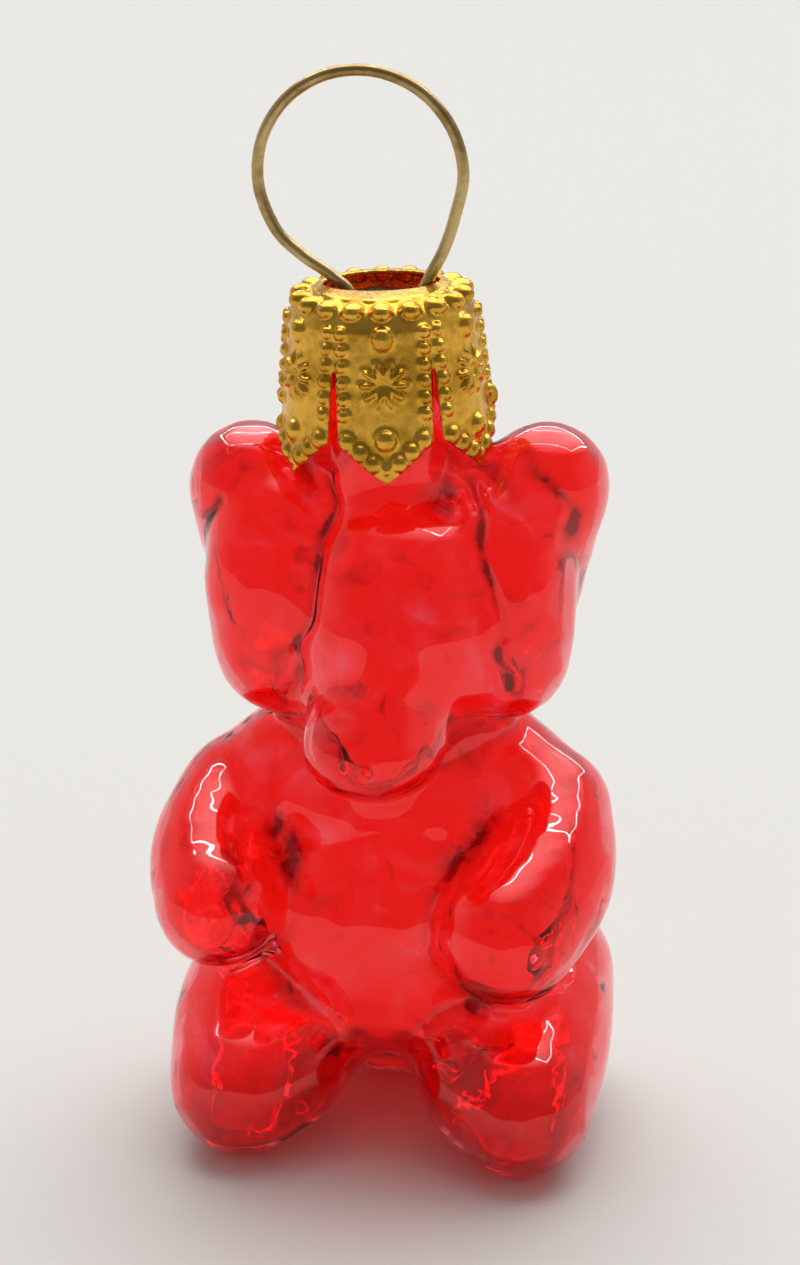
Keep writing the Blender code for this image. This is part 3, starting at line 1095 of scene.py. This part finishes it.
        in_edit_mode(cup, None, raise_rings)
        in_edit_mode(cup, lambda places: places[:, 2] > self.hole_z - 0.1, self.press_hole)
        in_edit_mode(cup, None, lambda: bpy.ops.mesh.normals_make_consistent(inside=False))
        apply_modifier(cup, "SOLIDIFY", thickness=self.sheet * MM, offset=-1.0)
        return cup

    def press_hole(self) -> None:
        """Makes the selected edge of the hole an oval, set back a little."""
        bpy.ops.transform.resize(value=(1.0, self.hole_flatness, 1.0),
                                 center_override=(0.0, 0.0, self.hole_z * MM))
        bpy.ops.transform.translate(value=(0.0, self.hole_setback * MM, 0.0))

    def slit_cutter(self) -> bpy.types.Object:
        """Models the wedge that parts two lappets and points their ends."""
        half = math.pi * self.end_radius / self.lappets
        gap = half - 0.5 * self.width
        deselect_all()
        bpy.ops.mesh.primitive_plane_add(
            size=1.0, rotation=(0.5 * math.pi, 0.0, 0.0),
            location=(0.0, -2.0 * MM, (self.tip_z - 1.0) * MM))
        cutter = bpy.context.object
        cutter.scale = (2.0 * half * MM, 2.0 * MM, 1.0)
        settle_place(cutter)

        def draw_up() -> None:
            low, reach = self.tip_z, half
            for height, width in ((self.corner_z, gap), (self.slit_z, self.slit_point)):
                bpy.ops.mesh.extrude_edges_move(
                    TRANSFORM_OT_translate={"value": (0.0, 0.0, (height - low) * MM)})
                bpy.ops.transform.resize(value=(width / reach, 1.0, 1.0),
                                         center_override=(0.0, 0.0, height * MM))
                low, reach = height, width

        in_edit_mode(cutter, lambda places: places[:, 2] > self.tip_z - 0.01, draw_up)
        in_edit_mode(cutter, None, lambda: bpy.ops.mesh.extrude_region_move(
            TRANSFORM_OT_translate={"value": (0.0, -8.0 * MM, 0.0)}))
        in_edit_mode(cutter, None, lambda: bpy.ops.mesh.normals_make_consistent(inside=False))
        return cutter

    def cut_slits(self, cup: bpy.types.Object) -> None:
        """Cuts the lappets apart."""
        wedge = self.slit_cutter()
        copies = []
        for index in range(self.lappets):
            turn = Matrix.Rotation(math.tau * (index + 0.5) / self.lappets, 4, "Z")
            copies.append(copy_at(wedge, turn))
        bpy.data.objects.remove(wedge)
        cutter = join_pieces(copies, "slit_cutters")
        apply_modifier(cup, "BOOLEAN", operation="DIFFERENCE", object=cutter,
                       use_self=True)
        bpy.data.objects.remove(cutter)

    def build(self) -> bpy.types.Object:
        """Models and dresses the cap.

        Returns:
            The finished piece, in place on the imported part.
        """
        cup = self.draw_cup()
        self.cut_slits(cup)
        pattern = self.relief()
        copies = []
        for index in range(1, self.lappets):
            turn = Matrix.Rotation(math.tau * index / self.lappets, 4, "Z")
            copies += [copy_at(piece, turn) for piece in pattern]
        cap = join_pieces([cup, *pattern, *copies, *self.ring(), self.spur()],
                          "stamped_crown_cap")
        apply_modifier(cap, "REMESH", mode="VOXEL", voxel_size=self.voxel * MM)
        apply_modifier(cap, "SMOOTH", factor=0.5, iterations=2)
        cap.data.materials.append(StampedGold().build())
        cap.data.shade_smooth()
        self.seat(cap)
        self.draw_up_lappet(cap)
        return cap

    def draw_up_lappet(self, cap: bpy.types.Object) -> None:
        """Draws up the lappet that lies over the ear, so that it ends clear of the glass."""
        middle = box_middle(Node.CAP)
        aim = self.facing + math.tau * self.short_lappet / self.lappets
        outward = Vector((math.sin(aim), -math.cos(aim), 0.0))
        slit = self.slit_z * MM
        for vertex in cap.data.vertices:
            radial = Vector((vertex.co.x - middle.x, vertex.co.y - middle.y, 0.0))
            if vertex.co.z < slit and radial.angle(outward) < math.pi / self.lappets:
                vertex.co.z = slit + (vertex.co.z - slit) * self.short_share

    def seat(self, cap: bpy.types.Object) -> None:
        """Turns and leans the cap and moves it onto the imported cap."""
        pivot = Matrix.Translation((0.0, 0.0, self.pivot_z * MM))
        turn = pivot @ Matrix.Rotation(self.lean, 4, "Y") @ pivot.inverted()
        middle = box_middle(Node.CAP)
        centre = Matrix.Translation((middle.x, middle.y, 0.0))
        cap.data.transform(turn @ Matrix.Rotation(self.facing, 4, "Z"))
        points = np.array([vertex.co[:] for vertex in cap.data.vertices])
        offset = 0.5 * (points.min(axis=0) + points.max(axis=0))
        cap.data.transform(centre @ Matrix.Translation((-offset[0], -offset[1], 0.0)))


# -------------------------------------------------------------------- hanger


@dataclass
class WireHanger:
    """Round brass wire: a loop, and two legs that stand in the neck."""

    wire_radius: float = 0.4
    loop_radius: float = 6.8
    loop_centre: Triple = (-2.65, 0.0, 66.0)
    loop_start: float = math.radians(214.0)
    loop_end: float = math.radians(-24.0)
    left_leg: tuple[Triple, ...] = ((-3.9, 0.0, 50.5), (-3.8, 0.0, 55.0), (-3.25, 0.0, 57.75),
                                    (-4.6, 0.0, 59.2), (-6.55, 0.0, 60.5))
    right_leg: tuple[Triple, ...] = ((1.85, 0.0, 50.5), (1.5, 0.0, 55.0), (1.35, 0.0, 57.7),
                                     (1.95, 0.0, 59.3), (2.85, 0.0, 61.1))
    loop_steps: int = 9
    route_steps: int = 12

    def route(self) -> list[Vector]:
        """Returns the points of the wire, up one leg, round and down the other."""
        knots = [Vector(point) for point in self.left_leg]
        for step in range(self.loop_steps + 1):
            angle = self.loop_start + (self.loop_end - self.loop_start) * step / self.loop_steps
            reach = Vector((math.cos(angle), 0.0, math.sin(angle))) * self.loop_radius
            knots.append(Vector(self.loop_centre) + reach)
        knots += [Vector(point) for point in reversed(self.right_leg)]
        points = [curve_point(knots, k + step / self.route_steps)
                  for k in range(len(knots) - 1) for step in range(self.route_steps)]
        return [*points, knots[-1]]

    def build(self) -> bpy.types.Object:
        """Models and dresses the hanger.

        Returns:
            The finished piece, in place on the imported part.
        """
        data = bpy.data.curves.new("wire_hanger", "CURVE")
        data.dimensions = "3D"
        data.bevel_depth = self.wire_radius * MM
        data.bevel_resolution = 6
        data.use_fill_caps = True
        route = self.route()
        line = data.splines.new("POLY")
        line.points.add(len(route) - 1)
        for point, place in zip(line.points, route):
            point.co = (*(place * MM), 1.0)
        wire = bpy.data.objects.new("wire_hanger", data)
        bpy.context.scene.collection.objects.link(wire)
        make_active(wire)
        bpy.ops.object.convert(target="MESH")
        wire = bpy.context.object
        in_edit_mode(wire, None, lambda: bpy.ops.mesh.remove_doubles(threshold=0.001 * MM))
        in_edit_mode(wire, None, lambda: bpy.ops.mesh.normals_make_consistent(inside=False))
        wire.data.shade_smooth()
        points = np.array([vertex.co[:] for vertex in wire.data.vertices])
        offset = Vector(0.5 * (points.min(axis=0) + points.max(axis=0)))
        wire.data.transform(Matrix.Translation(box_middle(Node.HANGER) - offset))
        wire.data.materials.append(AgedBrass().build())
        return wire


# -------------------------------------------------------------------- studio


@dataclass
class Studio:
    """Pale floor, a soft tent of light with a lamp frame overhead, and the camera."""

    floor_colour: Triple = (0.80, 0.78, 0.755)
    tent_colour: Triple = (1.0, 1.0, 0.985)
    front_light: float = 0.19
    back_light: float = 0.55
    wall_span: tuple[float, float] = (-0.7, 0.15)
    roof_light: float = 0.22
    roof_span: tuple[float, float] = (0.35, 0.85)
    glow_light: float = 2.7
    glow_height: float = math.radians(62.0)
    glow_span: tuple[float, float] = (0.72, 0.97)
    backdrop_light: float = 0.82
    frame_distance: float = 900.0
    frame_height: float = math.radians(58.0)
    frame_across: float = 640.0
    frame_deep: float = 400.0
    strip_width: float = 16.0
    strip_light: float = 90.0
    camera_azimuth: float = math.radians(9.0)
    camera_elevation: float = math.radians(19.5)
    camera_distance: float = 233.0
    camera_lens: float = 97.5
    target: Triple = (0.54, 1.95, 34.5)
    light_bounces: int = 24

    def lay_floor(self) -> bpy.types.Object:
        """Returns the floor, a hair below the part."""
        deselect_all()
        bpy.ops.mesh.primitive_circle_add(vertices=96, radius=3.0, fill_type="NGON",
                                          location=(0.0, 0.0, -0.00002))
        floor = bpy.context.object
        floor.name = "pale_floor"
        material, shader = new_material("pale_floor")
        shader.inputs["Base Color"].default_value = (*self.floor_colour, 1.0)
        shader.inputs["Roughness"].default_value = 0.7
        floor.data.materials.append(material)
        return floor

    def raise_tent(self) -> None:
        """Sets the world to a pale tent that is open, and so darker, towards the front."""
        world = bpy.data.worlds.new("light_tent")
        bpy.context.scene.world = world
        world.use_nodes = True
        tree = world.node_tree
        place = tree.nodes.new("ShaderNodeTexCoord")
        axes = tree.nodes.new("ShaderNodeSeparateXYZ")
        tree.links.new(place.outputs["Generated"], axes.inputs[0])
        walls = self.add_fade(tree, axes.outputs["Y"], self.wall_span,
                              (self.front_light, self.back_light))
        roof = self.add_fade(tree, axes.outputs["Z"], self.roof_span, (0.0, 1.0))
        shell = tree.nodes.new("ShaderNodeMix")
        shell.inputs["B"].default_value = self.roof_light
        tree.links.new(roof, shell.inputs["Factor"])
        tree.links.new(walls, shell.inputs["A"])
        aim = tree.nodes.new("ShaderNodeVectorMath")
        aim.operation = "DOT_PRODUCT"
        aim.inputs[1].default_value = (0.0, math.cos(self.glow_height),
                                       math.sin(self.glow_height))
        tree.links.new(place.outputs["Generated"], aim.inputs[0])
        glow = self.add_fade(tree, aim.outputs["Value"], self.glow_span, (0.0, self.glow_light))
        whole = tree.nodes.new("ShaderNodeMath")
        tree.links.new(shell.outputs["Result"], whole.inputs[0])
        tree.links.new(glow, whole.inputs[1])
        seen = tree.nodes.new("ShaderNodeLightPath")
        strength = tree.nodes.new("ShaderNodeMix")
        strength.inputs["B"].default_value = self.backdrop_light
        tree.links.new(seen.outputs["Is Camera Ray"], strength.inputs["Factor"])
        tree.links.new(whole.outputs[0], strength.inputs["A"])
        background = tree.nodes["Background"]
        background.inputs["Color"].default_value = (*self.tent_colour, 1.0)
        tree.links.new(strength.outputs["Result"], background.inputs["Strength"])

    @staticmethod
    def add_fade(tree: bpy.types.NodeTree, source: bpy.types.NodeSocket,
                 span: tuple[float, float], values: tuple[float, float]) -> bpy.types.NodeSocket:
        """Adds a smooth fade between two strengths along one direction.

        Args:
            tree: The world's node tree.
            source: The socket with the direction's component.
            span: Where the fade starts and ends.
            values: The strengths before and after it.

        Returns:
            The socket with the faded strength.
        """
        fade = tree.nodes.new("ShaderNodeMapRange")
        fade.interpolation_type = "SMOOTHSTEP"
        fade.inputs["From Min"].default_value = span[0]
        fade.inputs["From Max"].default_value = span[1]
        fade.inputs["To Min"].default_value = values[0]
        fade.inputs["To Max"].default_value = values[1]
        tree.links.new(source, fade.inputs["Value"])
        return fade.outputs["Result"]

    def hang_lamps(self) -> None:
        """Hangs the four strip lamps behind and above, as an oblong frame facing the bear."""
        halves = (self.frame_across * MM, self.frame_deep * MM)
        tilt = Matrix.Rotation(-(0.5 * math.pi - self.frame_height), 4, "X")
        frame = tilt @ Matrix.Translation((0.0, 0.0, self.frame_distance * MM))
        for index in range(4):
            angle = 0.5 * math.pi * index
            length, reach = (halves if index % 2 == 0 else halves[::-1])
            lamp = bpy.data.lights.new(f"strip_{index}", "AREA")
            lamp.shape = "RECTANGLE"
            lamp.size = 2.0 * length
            lamp.size_y = self.strip_width * MM
            lamp.energy = self.strip_light * lamp.size * lamp.size_y
            item = bpy.data.objects.new(f"strip_{index}", lamp)
            item.matrix_world = (frame @ Matrix.Rotation(angle, 4, "Z")
                                 @ Matrix.Translation((0.0, -reach, 0.0)))
            item.visible_diffuse = False
            bpy.context.scene.collection.objects.link(item)

    def place_camera(self) -> None:
        """Places the camera in front of the bear, looking slightly down."""
        camera = bpy.data.cameras.new("camera")
        camera.lens = self.camera_lens
        camera.clip_start = 0.001
        camera.clip_end = 20.0
        item = bpy.data.objects.new("camera", camera)
        bpy.context.scene.collection.objects.link(item)
        level = math.cos(self.camera_elevation)
        back = Vector((math.sin(self.camera_azimuth) * level,
                       -math.cos(self.camera_azimuth) * level,
                       math.sin(self.camera_elevation)))
        item.location = (Vector(self.target) + back * self.camera_distance) * MM
        item.rotation_euler = (-back).to_track_quat("-Z", "Y").to_euler()
        bpy.context.scene.camera = item

    def build(self) -> None:
        """Sets up the whole studio."""
        self.lay_floor()
        self.raise_tent()
        self.hang_lamps()
        self.place_camera()
        bpy.context.scene.view_settings.view_transform = "Standard"
        paths = bpy.context.scene.cycles
        paths.max_bounces = paths.glossy_bounces = paths.transmission_bounces = self.light_bounces


def main() -> None:
    """Builds every piece in order and reports it."""
    logging.basicConfig(level=logging.INFO, format="%(name)s: %(message)s")
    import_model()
    builders = (
        (GlassBear(), Node.BEAR, "red_glass"),
        (StampedCap(), Node.CAP, "gold_cap"),
        (WireHanger(), Node.HANGER, "brass_wire"),
    )
    for builder, node, slot in builders:
        piece = builder.build()
        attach(piece, "root")
        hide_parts(node.value)
        LOG.info("%s: %d faces", piece.name, len(piece.data.polygons))
    Studio().build()


if __name__ == "__main__":
    main()
